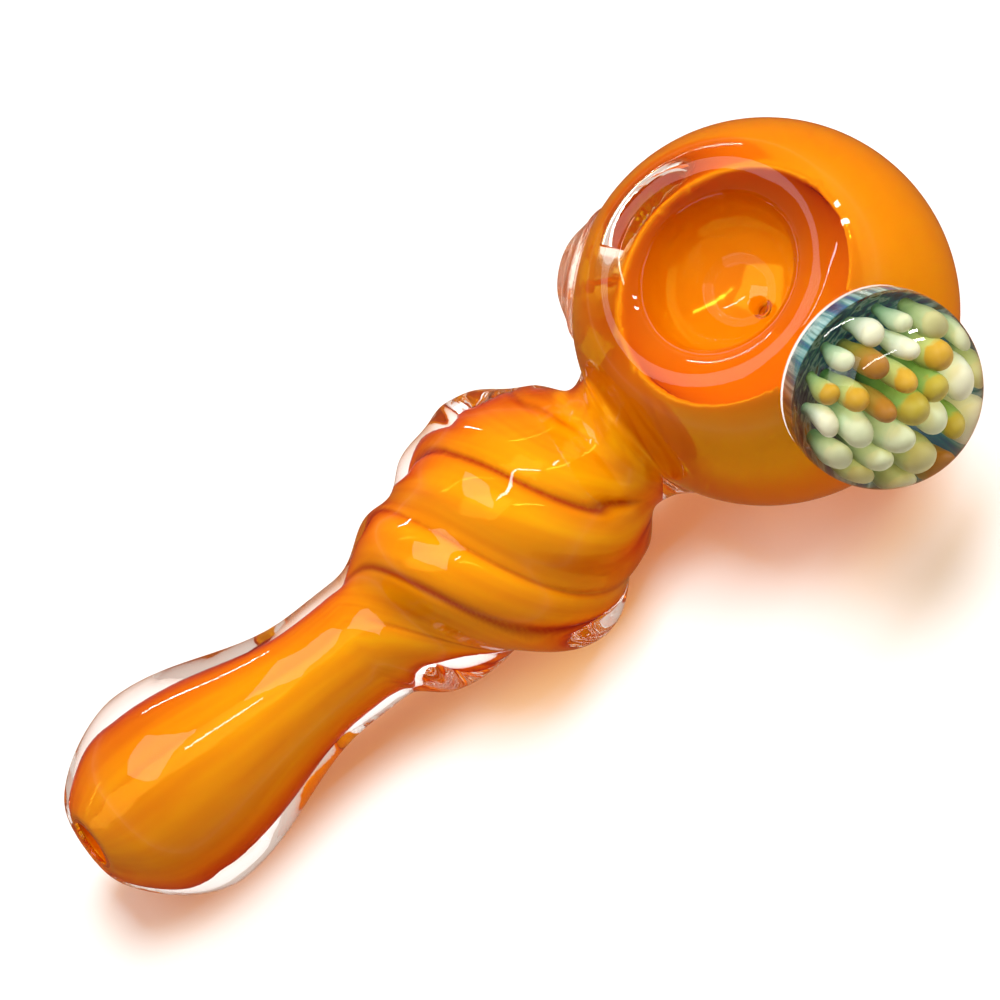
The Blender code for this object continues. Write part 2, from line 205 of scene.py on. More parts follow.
# Colours of a petal at its root, middle, shoulder and tip.
MINT = ((0.02, 0.10, 0.04), (0.20, 0.35, 0.19), (0.42, 0.54, 0.34), (0.52, 0.58, 0.37))
SNOW = ((0.05, 0.15, 0.07), (0.38, 0.50, 0.34), (0.63, 0.68, 0.53), (0.63, 0.65, 0.47))
SUNNY = ((0.02, 0.10, 0.02), (0.24, 0.37, 0.14), (0.42, 0.46, 0.14), (0.50, 0.30, 0.02))
FERN = ((0.01, 0.06, 0.01), (0.08, 0.21, 0.03), (0.20, 0.35, 0.08), (0.38, 0.31, 0.03))
HONEY = ((0.03, 0.06, 0.01), (0.19, 0.18, 0.02), (0.28, 0.17, 0.02), (0.32, 0.14, 0.01))
OLIVE = ((0.04, 0.12, 0.03), (0.23, 0.34, 0.13), (0.38, 0.46, 0.23), (0.44, 0.44, 0.20))
PETAL_LOOKS = {
    "mint": MINT, "snow": SNOW, "sunny": SUNNY, "fern": FERN, "honey": HONEY, "olive": OLIVE,
}
PETAL_ORDER = (
    "fern", "sunny", "honey", "mint", "mint", "fern",
    "snow", "honey", "sunny", "mint", "mint", "olive", "fern", "snow", "sunny",
    "olive", "mint", "snow", "mint", "sunny", "snow", "mint", "olive", "mint", "honey", "snow",
    "olive", "mint",
)
PETAL_STOPS = (0.20, 0.52, 0.92, 1.0)

# Camera, placed by the direction it looks from.
CAMERA_AZIMUTH = math.radians(-67.79)
CAMERA_ELEVATION = math.radians(60.0)
CAMERA_ROLL = math.radians(-56.17)
CAMERA_DISTANCE = 0.5749
CAMERA_LENS = 200
TARGET = Vector((-0.0352, 0, 0.0160))
TARGET_SHIFT = (-0.00054, 0.00228)
SENSOR_WIDTH = 36
NEAREST = 0.01

# Studio: floor, sky seen in reflections from straight below to straight above, and lamps with
# their direction, distance, size and radiance.
FLOOR_HALF = 3.0
FLOOR_COLOUR = (0.82, 0.82, 0.82, 1)
FLOOR_GLOW = (0.90, 0.90, 0.90, 1)
FLOOR_GLOW_START = 0.30
FLOOR_GLOW_FULL = 1.00
SKY = (
    (0.0, (0.30, 0.11, 0.04)), (0.40, (0.26, 0.12, 0.06)), (0.47, (0.32, 0.21, 0.14)),
    (0.50, (0.44, 0.38, 0.33)), (0.54, (0.36, 0.28, 0.21)), (0.60, (0.30, 0.20, 0.13)),
    (1.0, (0.24, 0.15, 0.09)),
)
SKY_THROUGH_GLASS = (0.80, 0.66, 0.58)
BACKDROP = (0.86, 0.86, 0.86)
LAMP_TARGET = Vector((-0.035, 0, 0.015))
LAMPS = (
    ("overhead", (-0.21, 0.25, 0.94), 0.60, (0.36, 0.36), 2.0),
    ("tube_left", (0.28, 0.02, 0.96), 0.60, (0.020, 0.22), 15.0),
    ("tube_right", (0.58, 0.02, 0.82), 0.60, (0.020, 0.22), 15.0),
    ("window_left", (0.955, 0.10, 0.28), 0.60, (0.03, 0.12), 28.0),
    ("window_right", (0.925, 0.26, 0.28), 0.60, (0.03, 0.12), 28.0),
    ("thin_tube", (0.10, 0.90, 0.41), 0.60, (0.30, 0.008), 60.0),
)
KEY = ("key", (0.38, 0.22, 0.90), 0.80, (0.26, 0.26), 34.0)
MOST_BOUNCES = 40
GLASS_BOUNCES = 30


# ---------------------------------------------------------------- shape helpers


def blend(a, b, amount):
    return a + (b - a) * amount


def ease(value, start, end):
    """0 before start, 1 after end, and half a cosine wave between."""
    part = min(1.0, max(0.0, (value - start) / (end - start)))
    return 0.5 - 0.5 * math.cos(math.pi * part)


def arc(centre, radius, start, end, count=ARC_STEPS):
    turns = [blend(start, end, step / count) for step in range(count + 1)]
    return [(centre[0] + radius * math.cos(t), centre[1] + radius * math.sin(t)) for t in turns]


def frame_along(direction):
    """Two directions across the one given, so that the three make a right-handed frame."""
    helper = UP if abs(direction.z) < 0.9 else Vector((1, 0, 0))
    across = helper.cross(direction).normalized()
    return across, direction.cross(across)


def mesh_object(name, points, faces):
    mesh = bpy.data.meshes.new(name)
    mesh.from_pydata([tuple(p) for p in points], [], faces)
    mesh.validate()
    mesh.polygons.foreach_set("use_smooth", [True] * len(mesh.polygons))
    obj = bpy.data.objects.new(name, mesh)
    bpy.context.scene.collection.objects.link(obj)
    return obj


def revolve(name, profile, centre, direction):
    """Turns points (distance from the axis, distance along it) round the axis.

    They run up the outer side.
    """
    segments = HEAD_SEGMENTS
    across, beyond = frame_along(direction)
    points = []
    rows = []
    for radius, along in profile:
        if radius == 0:
            rows.append([len(points)] * segments)
            points.append(centre + direction * along)
            continue
        rows.append(list(range(len(points), len(points) + segments)))
        for step in range(segments):
            angle = math.tau * step / segments
            spoke = across * math.cos(angle) + beyond * math.sin(angle)
            points.append(centre + spoke * radius + direction * along)
    if profile[0][0] != 0:
        rows.append(rows[0])
    faces = []
    for low, high in zip(rows, rows[1:]):
        for step in range(segments):
            after = (step + 1) % segments
            corners = [low[step], low[after], high[after], high[step]]
            faces.append(list(dict.fromkeys(corners)))
    return mesh_object(name, points, faces)


def loft(name, rings):
    """Joins rings of equal length, counted anticlockwise seen from the last ring, with flat ends."""
    sides = len(rings[0])
    points = [point for ring in rings for point in ring]
    faces = [list(range(sides))[::-1]]
    for row in range(len(rings) - 1):
        for step in range(sides):
            a = row * sides + step
            b = row * sides + (step + 1) % sides
            faces.append([a, b, b + sides, a + sides])
    last = (len(rings) - 1) * sides
    faces.append(list(range(last, last + sides)))
    return mesh_object(name, points, faces)


def rod(name, direction, radius, span):
    start, end = span
    profile = [(0, start), (radius, start), (radius, end), (0, end)]
    return revolve(name, profile, HEAD_CENTRE, direction)


def bake(obj):
    """Applies the object's modifiers to its mesh."""
    graph = bpy.context.evaluated_depsgraph_get()
    made = bpy.data.meshes.new_from_object(obj.evaluated_get(graph))
    obj.modifiers.clear()
    obj.data = made
    made.polygons.foreach_set("use_smooth", [True] * len(made.polygons))
    return obj


def join(name, *parts):
    """One mesh of several closed shapes that overlap."""
    points = []
    faces = []
    for part in parts:
        start = len(points)
        points += [v.co.copy() for v in part.data.vertices]
        faces += [[start + v for v in p.vertices] for p in part.data.polygons]
        bpy.data.objects.remove(part, do_unlink=True)
    return mesh_object(name, points, faces)


def melt(obj, voxel, rounds):
    """Fuses the overlapping shapes of one mesh, and evens the joints out as heat does."""
    remesh = obj.modifiers.new("fuse", "REMESH")
    remesh.mode = "VOXEL"
    remesh.voxel_size = voxel
    remesh.adaptivity = 0
    smooth = obj.modifiers.new("polish", "SMOOTH")
    smooth.factor = 0.5
    smooth.iterations = rounds
    return bake(obj)


def cut(obj, *cutters):
    for cutter in cutters:
        modifier = obj.modifiers.new("cut", "BOOLEAN")
        modifier.operation = "DIFFERENCE"
        modifier.solver = "MANIFOLD"
        modifier.object = cutter
    bake(obj)
    for cutter in cutters:
        bpy.data.objects.remove(cutter, do_unlink=True)
    return obj


# ---------------------------------------------------------------- head


def lip_centre():
    across = BOWL_RADIUS + LIP_RADIUS
    return across, math.sqrt((HEAD_RADIUS - LIP_RADIUS) ** 2 - across**2)


def bowl_curve(beside, below, start, end, count=ARC_STEPS):
    """Points on the bowl's ellipse, pushed out beside and below it. Angle -90 degrees is its floor."""
    top = lip_centre()[1]
    points = []
    for step in range(count + 1):
        angle = blend(start, end, step / count)
        across = (BOWL_RADIUS + beside) * math.cos(angle)
        points.append((across, top + (top - BOWL_FLOOR + below) * math.sin(angle)))
    return points


def head_profile():
    """Foot, ball, rounded lip and bowl."""
    foot = -math.asin(HEAD_HEIGHT / HEAD_RADIUS)
    lip = lip_centre()
    lip_angle = math.atan2(lip[1], lip[0])
    return (
        [(0, -HEAD_HEIGHT)]
        + arc((0, 0), HEAD_RADIUS, foot, lip_angle, 2 * ARC_STEPS)
        + arc(lip, LIP_RADIUS, lip_angle, math.pi)[1:]
        + bowl_curve(0, 0, 0, -math.pi / 2)[1:-1]
        + [(0, BOWL_FLOOR)]
    )


def chamber_profile(inset):
    """Space between the ball and the glass round the bowl, shrunk by the inset on every side."""
    radius = CHAMBER_RADIUS - inset
    wall = bowl_curve(BOWL_WALL + inset, FLOOR_WALL + inset, 0, -math.pi / 2, 4 * ARC_STEPS)
    inside = [point for point in wall if math.hypot(*point) < radius]
    rim = math.atan2(inside[0][1], inside[0][0])
    ball = arc((0, 0), radius, -math.pi / 2, rim, 2 * ARC_STEPS)
    return [(0, -radius)] + ball[1:] + inside[1:-1:3] + [(0, inside[-1][1])]


def head_body(name, profile):
    return revolve(name, profile, HEAD_CENTRE, UP)


# ---------------------------------------------------------------- handle


def tip_share(x):
    """0 at the bulb and 1 at the tip."""
    return max(0.0, (BULB_X - x) / (BULB_X - TIP_X)) ** 2


def axis_point(x):
    y = TIP_LEAN * tip_share(x)
    z = AXIS_HEIGHT + AXIS_SLOPE * x + TIP_RISE * tip_share(x)
    return y, blend(z, HEAD_HEIGHT, ease(x, NECK_X, HANDLE_END_X))


def bulb_swell(x):
    part = min(1.0, max(0.0, (BULB_X - x) / (BULB_X - TIP_X)))
    return max(0.0, 1 - part**BULB_POWER) ** (1 / BULB_POWER)


def plain_radius(x, tube):
    if x < BULB_X:
        return blend(tube["tip"], tube["bulb"], bulb_swell(x))
    if x < WAIST_X:
        return blend(tube["bulb"], tube["waist"], ease(x, BULB_X, WAIST_X))
    if x < TWIST_CREST_X:
        return blend(tube["waist"], tube["twist"], ease(x, TWIST_START_X, TWIST_CREST_X))
    return blend(tube["twist"], tube["neck"], ease(x, TWIST_CREST_X, NECK_X))


def turn_phase(x, angle):
    """How many turns of the twist this place is past the twist's start."""
    return (x - PHASE_X) / PITCH - (angle - PHASE_ANGLE) / math.tau


def off_line(phase, place):
    """Distance from a line that winds with the twist, in turns."""
    return abs((phase - place + 0.5) % 1.0 - 0.5)


def ridge_height(x, angle, shares=WHOLE):
    phase = turn_phase(x, angle)
    total = 0.0
    for share, (place, half_width, height, start, full) in zip(shares, RIDGES):
        apart = off_line(phase, place) / half_width
        if apart < 1:
            rise = ease(x, start, full) * (1 - ease(x, RIDGES_FADE_X, NECK_X))
            total += share * height * rise * (0.5 + 0.5 * math.cos(math.pi * apart))
    return total


def casing_radius(x, angle):
    if x > NECK_X:
        flare = min(1.0, (x - NECK_X) / (FLARE_X - NECK_X))
        return CLEAR["neck"] + (FLARE_RADIUS - CLEAR["neck"]) * flare**2
    return plain_radius(x, CLEAR) + ridge_height(x, angle)


def crease(x, angle):
    """How deep the crease is here, and how dark its painted shade is, from 0 to 1."""
    phase = turn_phase(x, angle)
    fade = ease(x, *CREASE_START) * (1 - ease(x, *CREASE_END))
    depth = 0.0
    dark = 0.0
    for place, half_width, deepest, shade_darkness in CREASES:
        apart = off_line(phase, place) / half_width
        if apart < 1:
            share = fade * (0.5 + 0.5 * math.cos(math.pi * apart))
            depth += deepest * share
            dark += shade_darkness * share
    return depth, dark


def amber_radius(x, angle):
    swell = ridge_height(x, angle, AMBER_SHARES)
    return plain_radius(x, AMBER) + swell - crease(x, angle)[0]


def amber_middle(x, angle):
    """Half way through the amber's wall, where the clear glass ends."""
    return plain_radius(x, AMBER) - LINING_WALL / 2 - crease(x, angle)[0]


def bore_radius(x, angle):
    return plain_radius(x, BORE)


def section(x, radius_at):
    y, z = axis_point(x)
    tilt = TIP_TILT * tip_share(x)
    ring = []
    for step in range(TUBE_SIDES):
        angle = math.tau * step / TUBE_SIDES
        radius = radius_at(x, angle)
        across = radius * math.cos(angle)
        above = radius * math.sin(angle)
        back = tilt * (across * TIP_FACING[0] + above * TIP_FACING[1])
        ring.append((x + back, y + across, z + above))
    return ring


def tube(name, radius_at, start=TIP_X):
    """Handle from the tip to inside the head. Its sections lie closer where the tip curves in."""
    places = []
    for step in range(TIP_STEPS):
        places.append(BULB_X - (BULB_X - start) * math.cos(math.pi / 2 * step / TIP_STEPS))
    count = round((HANDLE_END_X - BULB_X) / TUBE_STEP)
    for step in range(count + 1):
        places.append(blend(BULB_X, HANDLE_END_X, step / count))
    return loft(name, [section(x, radius_at) for x in places])


# ---------------------------------------------------------------- materials


def new_material(name):
    made = bpy.data.materials.new(name)
    made.use_nodes = True
    nodes = made.node_tree.nodes
    return made, nodes, made.node_tree.links, nodes["Principled BSDF"]


def set_inputs(node, values):
    for name, value in values.items():
        node.inputs[name].default_value = value


def let_lamps_through(made, shader, tint):
    """Light from the lamps passes this glass with a tint, where plain refraction would stop it."""
    nodes = made.node_tree.nodes
    links = made.node_tree.links
    path = nodes.new("ShaderNodeLightPath")
    clear = nodes.new("ShaderNodeBsdfTransparent")
    clear.inputs["Color"].default_value = (*tint, 1)
    mix = nodes.new("ShaderNodeMixShader")
    links.new(path.outputs["Is Shadow Ray"], mix.inputs[0])
    links.new(shader.outputs[0], mix.inputs[1])
    links.new(clear.outputs[0], mix.inputs[2])
    links.new(mix.outputs[0], nodes["Material Output"].inputs["Surface"])


def read_attribute(nodes, name, output="Fac"):
    node = nodes.new("ShaderNodeAttribute")
    node.attribute_name = name
    return node.outputs[output]


def add_noise(nodes, links, scale, detail, distortion=0.0, place=None):
    """Noise at a place given by another node, or else in the object's own frame."""
    if place is None:
        place = nodes.new("ShaderNodeTexCoord").outputs["Object"]
    texture = nodes.new("ShaderNodeTexNoise")
    set_inputs(texture, {"Scale": scale, "Detail": detail, "Distortion": distortion})
    links.new(place, texture.inputs["Vector"])
    return texture.outputs[0]


def add_bump(nodes, links, shader, texture, strength, distance):
    bump = nodes.new("ShaderNodeBump")
    set_inputs(bump, {"Strength": strength, "Distance": distance})
    links.new(texture, bump.inputs["Height"])
    links.new(bump.outputs[0], shader.inputs["Normal"])


def add_ramp(nodes, links, source, stops):
    ramp = nodes.new("ShaderNodeValToRGB")
    elements = ramp.color_ramp.elements
    while len(elements) < len(stops):
        elements.new(0.5)
    for element, (place, colour) in zip(elements, stops):
        element.position = place
        element.color = (*colour, 1)
    links.new(source, ramp.inputs[0])
    return ramp.outputs[0]


def mix_colours(nodes, links, share, first, second):
    """From the first colour to the second. Each is a fixed colour or another node's output."""
    mix = nodes.new("ShaderNodeMix")
    mix.data_type = "RGBA"
    links.new(share, mix.inputs["Factor"])
    for socket, colour in ((mix.inputs[6], first), (mix.inputs[7], second)):
        if isinstance(colour, tuple):
            socket.default_value = (*colour, 1)
        else:
            links.new(colour, socket)
    return mix.outputs[2]


def clear_glass(name, tint, ripple=0.10, roughness=0.0):
    """Fire-polished glass with the faint ripple of hand work."""
    made, nodes, links, shader = new_material(name)
    set_inputs(shader, {
        "Base Color": (*tint, 1),
        "Transmission Weight": 1.0,
        "Roughness": roughness,
        "IOR": GLASS_IOR,
    })
    add_bump(nodes, links, shader, add_noise(nodes, links, 90.0, 2.0), ripple, 0.0004)
    return made


def amber_glass():
    """Deep amber under clear glass, streaked along the twist, with painted shade darkening its creases.

    The coat's tint deepens where the amber is seen edge on, more so on the handle.
    """
    made, nodes, links, shader = new_material("amber_lining")
    streaks = add_noise(nodes, links, 1.0, 3.0, place=read_attribute(nodes, "flow", "Vector"))
    deep, thin, ball = (
        add_ramp(nodes, links, streaks, stops) for stops in (DEEP_AMBER, THIN_AMBER, HEAD_AMBER)
    )
    head = read_attribute(nodes, "head")
    handle = mix_colours(nodes, links, read_attribute(nodes, "thin"), deep, thin)
    whole = mix_colours(nodes, links, head, handle, ball)
    # Painted shade: the colour turns deep red along the creases of the twist.
    fold_shaded_colour = mix_colours(nodes, links, read_attribute(nodes, "painted_fold_shade"), whole, PAINTED_FOLD_SHADE)
    links.new(fold_shaded_colour, shader.inputs["Base Color"])
    tint = mix_colours(nodes, links, head, HANDLE_TINT, HEAD_TINT)
    links.new(tint, shader.inputs["Coat Tint"])
    set_inputs(shader, {
        "Roughness": 0.06,
        "IOR": 1.9,
        "Subsurface Weight": 0.2,
        "Subsurface Radius": (1.0, 0.35, 0.05),
        "Subsurface Scale": 0.002,
        "Coat Weight": 1.0,
        "Coat Roughness": 0.03,
        "Coat IOR": 1.02,
    })
    let_lamps_through(made, shader, AMBER_SHADE)
    return made


def add_attribute(obj, name, values, vectors=False):
    kind, field = ("FLOAT_VECTOR", "vector") if vectors else ("FLOAT", "value")
    obj.data.attributes.new(name, kind, "POINT").data.foreach_set(field, values)


def mark_amber(obj):
    """Marks which way the amber flows, how dark the painted shade in its creases is, where it is thin
    and the head.
    """
    ways = []
    painted_fold_shades = []
    thins = []
    heads = []
    for vertex in obj.data.vertices:
        x, y, z = vertex.co
        middle = axis_point(min(x, HANDLE_END_X))
        angle = math.atan2(z - middle[1], y - middle[0])
        held = min(max(x, TWIST_START_X), NECK_X)
        turned = math.tau * turn_phase(held, angle)
        around = (STREAKS * math.cos(turned), STREAKS * math.sin(turned))
        streak = Vector((*around, x * STREAK_SHORTNESS))
        ways += list(streak.lerp(vertex.co * STREAK_SHORTNESS, ease(x, NECK_X, FLARE_X)))
        # How dark the shade painted along the creases is here; none in the head.
        painted_fold_shades.append(crease(x, angle)[1] if x < NECK_X else 0.0)
        heads.append(ease(x, NECK_X, HANDLE_END_X))
        thins.append(ease(x, BULB_X, WAIST_X) * (1 - heads[-1]))
    add_attribute(obj, "flow", ways, vectors=True)
    add_attribute(obj, "painted_fold_shade", painted_fold_shades)
    add_attribute(obj, "thin", thins)
    add_attribute(obj, "head", heads)


# ---------------------------------------------------------------- glass body


def finish_piece(obj, look, node):
    obj.data.materials.clear()
    obj.data.materials.append(look)
    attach(obj, "root")
    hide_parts(node)


def finish_clear_piece(obj, look, node):
    """Clear glass lets the lamps' light and the floor's light straight through."""
    obj.visible_shadow = False
    obj.visible_diffuse = False
    finish_piece(obj, look, node)


def join_cutter(name, first, second):
    """Two overlapping cutters made one closed shape."""
    modifier = first.modifiers.new("join", "BOOLEAN")
    modifier.operation = "UNION"
    modifier.solver = "MANIFOLD"
    modifier.object = second
    bake(first)
    bpy.data.objects.remove(second, do_unlink=True)
    first.name = name
    return first


def make_casing():
    ball = head_body("ball", head_profile())
    body = join("clear_casing_glass", ball, tube("handle", casing_radius))
    melt(body, VOXEL, SMOOTHING)
    chamber = head_body("chamber", chamber_profile(GAP + LINING_WALL / 2))
    cut(
        body,
        join_cutter("inside", chamber, tube("core", amber_middle, CUTTER_TIP_X)),
        rod("draw", UP, DRAW_HOLE_RADIUS, DRAW_HOLE_SPAN),
        rod("carb", CARB_AXIS, CARB_RADIUS, CARB_HOLE_SPAN),
        rod("seat", MARBLE_AXIS, SEAT_CUTTER_RADIUS, SEAT_SPAN),
    )
    look = clear_glass("casing_glass", CASING_TINT)
    finish_clear_piece(body, look, "clear_casing")


def make_lining():
    chamber = head_body("chamber", chamber_profile(GAP))
    body = join("amber_lining_glass", chamber, tube("core", amber_radius, LINING_TIP_X))
    melt(body, VOXEL, SMOOTHING)
    air = head_body("air_chamber", chamber_profile(GAP + LINING_WALL))
    cut(
        body,
        join_cutter("air", air, tube("bore", bore_radius, CUTTER_TIP_X)),
        rod("draw", UP, DRAW_HOLE_RADIUS + LINING_HOLE_EXTRA, DRAW_HOLE_SPAN),
        rod("carb", CARB_AXIS, CARB_RADIUS + LINING_HOLE_EXTRA, CARB_HOLE_SPAN),
    )
    mark_amber(body)
    finish_piece(body, amber_glass(), "amber_lining")


def make_carb_ring():
    """Low ring melted on to the ball round the carb hole."""
    seat = HEAD_RADIUS - CARB_RING_SINK
    base = []
    top = []
    for step in range(CARB_RING_STEPS + 1):
        share = step / CARB_RING_STEPS
        radius = blend(CARB_RING_OUTER, CARB_RING_INNER, share)
        height = math.sqrt(seat**2 - radius**2)
        swell = math.sin(math.pi / 2 * share) ** 2
        base.append((radius, height))
        top.append((radius, height + GAP + blend(CARB_RING_EDGE, CARB_RING_HEIGHT, swell)))
    ring = revolve("carb_ring_glass", base[::-1] + top, HEAD_CENTRE, CARB_AXIS)
    melt(ring, CARB_RING_VOXEL, CARB_RING_SMOOTHING)
    # Painted glow: the clear ring is tinted pink for the amber light on the floor beside it.
    look = clear_glass("carb_glass_painted_glow", CARB_RING_GLOW_TINT, roughness=0.22)
    finish_clear_piece(ring, look, "carb_ring")


# ---------------------------------------------------------------- marble


def make_lens():
    edge = math.asin((MARBLE_BACK - MARBLE_CENTRE) / MARBLE_RADIUS)
    ball = arc((0, MARBLE_CENTRE), MARBLE_RADIUS, edge, math.pi / 2, 2 * ARC_STEPS)
    back = MARBLE_BACK - LENS_OVERLAP
    outline = [(0, back), (ball[0][0], back)] + ball[:-1] + [(0, MARBLE_CENTRE + MARBLE_RADIUS)]
    lens = revolve("marble_lens_glass", outline, HEAD_CENTRE, MARBLE_AXIS)
    look = clear_glass("marble_glass_clear", LENS_TINT, ripple=0.03)
    finish_clear_piece(lens, look, "marble_lens")


def backing_look():
    """Streaks of blue and teal that run out from the middle, brown on one side."""
    made, nodes, links, shader = new_material("marble_backing_streaks")
    streaks = add_noise(nodes, links, 5.0, 6.0, 0.4, read_attribute(nodes, "streak", "Vector"))
    blues = add_ramp(nodes, links, streaks, BACKING_BLUES)
    browns = add_ramp(nodes, links, streaks, BACKING_BROWNS)
    colour = mix_colours(nodes, links, read_attribute(nodes, "handle_side"), blues, browns)
    links.new(colour, shader.inputs["Base Color"])
    shader.inputs["Roughness"].default_value = 0.25
    let_lamps_through(made, shader, BACKING_SHADE)
    return made


def make_backing():
    """Thin disc behind the petals, with its rim turned up inside the lens."""
    inner = MARBLE_RADIUS - BACKING_CLEARANCE
    low = MARBLE_BACK + BACKING_CLEARANCE / 2
    start = math.asin((low - MARBLE_CENTRE) / inner)
    end = math.asin((low + BACKING_RISE - MARBLE_CENTRE) / inner)
    middle = (0, MARBLE_CENTRE)
    outside = arc(middle, inner, start, end, BACKING_STEPS)
    inside = arc(middle, inner - BACKING_THICKNESS, end, start + 0.03, BACKING_STEPS)
    floor = low + BACKING_THICKNESS
    profile = [(0, low)] + outside + inside + [(inside[-1][0] * 0.9, floor), (0, floor)]
    backing = revolve("marble_backing_glass", profile, HEAD_CENTRE, MARBLE_AXIS)
    across, beyond = frame_along(MARBLE_AXIS)
    streaks = []
    sides = []
    for vertex in backing.data.vertices:
        off = vertex.co - HEAD_CENTRE
        x, y = off.dot(across), off.dot(beyond)
        radius = math.hypot(x, y) or 1e-6
        around = (x / radius * BACKING_STREAKS, y / radius * BACKING_STREAKS)
        streaks += [*around, radius * BACKING_STREAK_SHORTNESS]
        spoke = (off - MARBLE_AXIS * low) / MARBLE_RADIUS
        sides.append(ease(-spoke.x, *BROWN_SIDE))
    add_attribute(backing, "streak", streaks, vectors=True)
    add_attribute(backing, "handle_side", sides)
    finish_piece(backing, backing_look(), "marble_backing")


def petal_look(name, colours):
    """The colour changes from root to tip, at a place that noise moves a little."""
    made, nodes, links, shader = new_material(name)
    shift = nodes.new("ShaderNodeMath")
    shift.operation = "MULTIPLY_ADD"
    shift.inputs[1].default_value = 0.36
    links.new(add_noise(nodes, links, 700.0, 4.0, 0.5), shift.inputs[0])
    links.new(read_attribute(nodes, "along"), shift.inputs[2])
    colour = add_ramp(nodes, links, shift.outputs[0], tuple(zip(PETAL_STOPS, colours)))
    links.new(colour, shader.inputs["Base Color"])
    set_inputs(shader, {
        "Roughness": 0.45,
        "Subsurface Weight": 0.25,
        "Subsurface Radius": (1.0, 0.9, 0.6),
        "Subsurface Scale": 0.0008,
    })
    let_lamps_through(made, shader, PETAL_SHADE)
    return made


def petal_width(share):
    """Radius along the petal, as a share of its widest: a thin stem that swells to a round end."""
    stem = blend(0.50, 1.0, ease(share, 0.0, 0.62))
    end = max(0.0, (share - 0.76) / 0.24)
    return stem * math.sqrt(max(0.0, 1 - end**2.4))


def make_petal(number, root, tip, chance):
    path = tip - root
    direction = path.normalized()
    across, beyond = frame_along(direction)
    bend = (across * chance.uniform(-1, 1) + beyond * chance.uniform(-1, 1)) * PETAL_BEND
    wide = PETAL_RADIUS * chance.uniform(*PETAL_WIDTHS)
    flat = chance.uniform(*PETAL_FLATNESS)
    points = [root]
    shares = [0.0]
    rows = [[0] * PETAL_SIDES]
    for row in range(PETAL_ROWS):
        share = 1 - (1 - row / PETAL_ROWS) ** 1.35
        centre = root + path * share + bend * math.sin(math.pi * share)
        radius = wide * petal_width(share)
        rows.append(list(range(len(points), len(points) + PETAL_SIDES)))
        for step in range(PETAL_SIDES):
            angle = math.tau * step / PETAL_SIDES
            spoke = across * math.cos(angle) + beyond * math.sin(angle) * flat
            points.append(centre + spoke * radius)
            shares.append(share)
    rows.append([len(points)] * PETAL_SIDES)
    points.append(tip)
    shares.append(1.0)
    faces = []
    for low, high in zip(rows, rows[1:]):
        for step in range(PETAL_SIDES):
            after = (step + 1) % PETAL_SIDES
            corners = [low[step], low[after], high[after], high[step]]
            faces.append(list(dict.fromkeys(corners)))
    petal = mesh_object(f"flower_petal_{number:02d}", points, faces)
    add_attribute(petal, "along", shares)
    return petal


def make_petals():
    """The flower, with the seeded layout of the CAD."""
    across, beyond = frame_along(MARBLE_AXIS)
    base = HEAD_CENTRE + MARBLE_AXIS * PETAL_BASE
    hub = HEAD_CENTRE + MARBLE_AXIS * PETAL_HUB
    layout = random.Random(5)
    chance = random.Random(11)
    looks = {name: petal_look(f"petal_{name}", colours) for name, colours in PETAL_LOOKS.items()}
    number = 0
    for ring, (count, root_distance, degrees) in enumerate(PETAL_RINGS):
        lean = math.radians(degrees)
        offset = layout.random()
        for step in range(count):
            number += 1
            angle = math.tau * (step + offset) / count
            spoke = across * math.cos(angle) + beyond * math.sin(angle)
            reach = PETAL_REACH * layout.uniform(PETAL_SHORTEST, 1.0) + PETAL_RADIUS * 0.9
            root = base + spoke * root_distance
            tip = hub + (MARBLE_AXIS * math.cos(lean) + spoke * math.sin(lean)) * reach
            petal = make_petal(number, root, tip, chance)
            look = looks[PETAL_ORDER[number - 1]]
            finish_piece(petal, look, f"petal_{number:02d}")


# ---------------------------------------------------------------- stage


def make_camera():
    flat = math.cos(CAMERA_ELEVATION)
    back = Vector((
        flat * math.cos(CAMERA_AZIMUTH), flat * math.sin(CAMERA_AZIMUTH), math.sin(CAMERA_ELEVATION)
    ))
    side = UP.cross(back).normalized()
    above = back.cross(side)
    right = side * math.cos(CAMERA_ROLL) + above * math.sin(CAMERA_ROLL)
    up = above * math.cos(CAMERA_ROLL) - side * math.sin(CAMERA_ROLL)
    camera = bpy.data.objects.new("camera", bpy.data.cameras.new("camera"))
    bpy.context.scene.collection.objects.link(camera)
    place = TARGET + right * TARGET_SHIFT[0] + up * TARGET_SHIFT[1] + back * CAMERA_DISTANCE
    turned = Matrix((right, up, back)).transposed().to_4x4()
    camera.matrix_world = Matrix.Translation(place) @ turned
    camera.data.lens = CAMERA_LENS
    camera.data.sensor_width = SENSOR_WIDTH
    camera.data.clip_start = NEAREST
    bpy.context.scene.camera = camera


def make_floor():
    """White paper. Far from the pipe it glows, as the lamps don't reach it there."""
    half = FLOOR_HALF
    corners = [(-half, -half, 0), (half, -half, 0), (half, half, 0), (-half, half, 0)]
    floor = mesh_object("floor", corners, [[0, 1, 2, 3]])
    made, nodes, links, shader = new_material("white_paper")
    set_inputs(shader, {
        "Base Color": FLOOR_COLOUR,
        "Roughness": 0.9,
        "Specular IOR Level": 0.0,
        "Emission Color": FLOOR_GLOW,
    })
    place = nodes.new("ShaderNodeTexCoord").outputs["Object"]
    distance = nodes.new("ShaderNodeVectorMath")
    distance.operation = "LENGTH"
    links.new(place, distance.inputs[0])
    glow = nodes.new("ShaderNodeMapRange")
    set_inputs(glow, {"From Min": FLOOR_GLOW_START, "From Max": FLOOR_GLOW_FULL})
    links.new(distance.outputs["Value"], glow.inputs["Value"])
    links.new(glow.outputs[0], shader.inputs["Emission Strength"])
    floor.data.materials.append(made)
    floor.visible_glossy = False


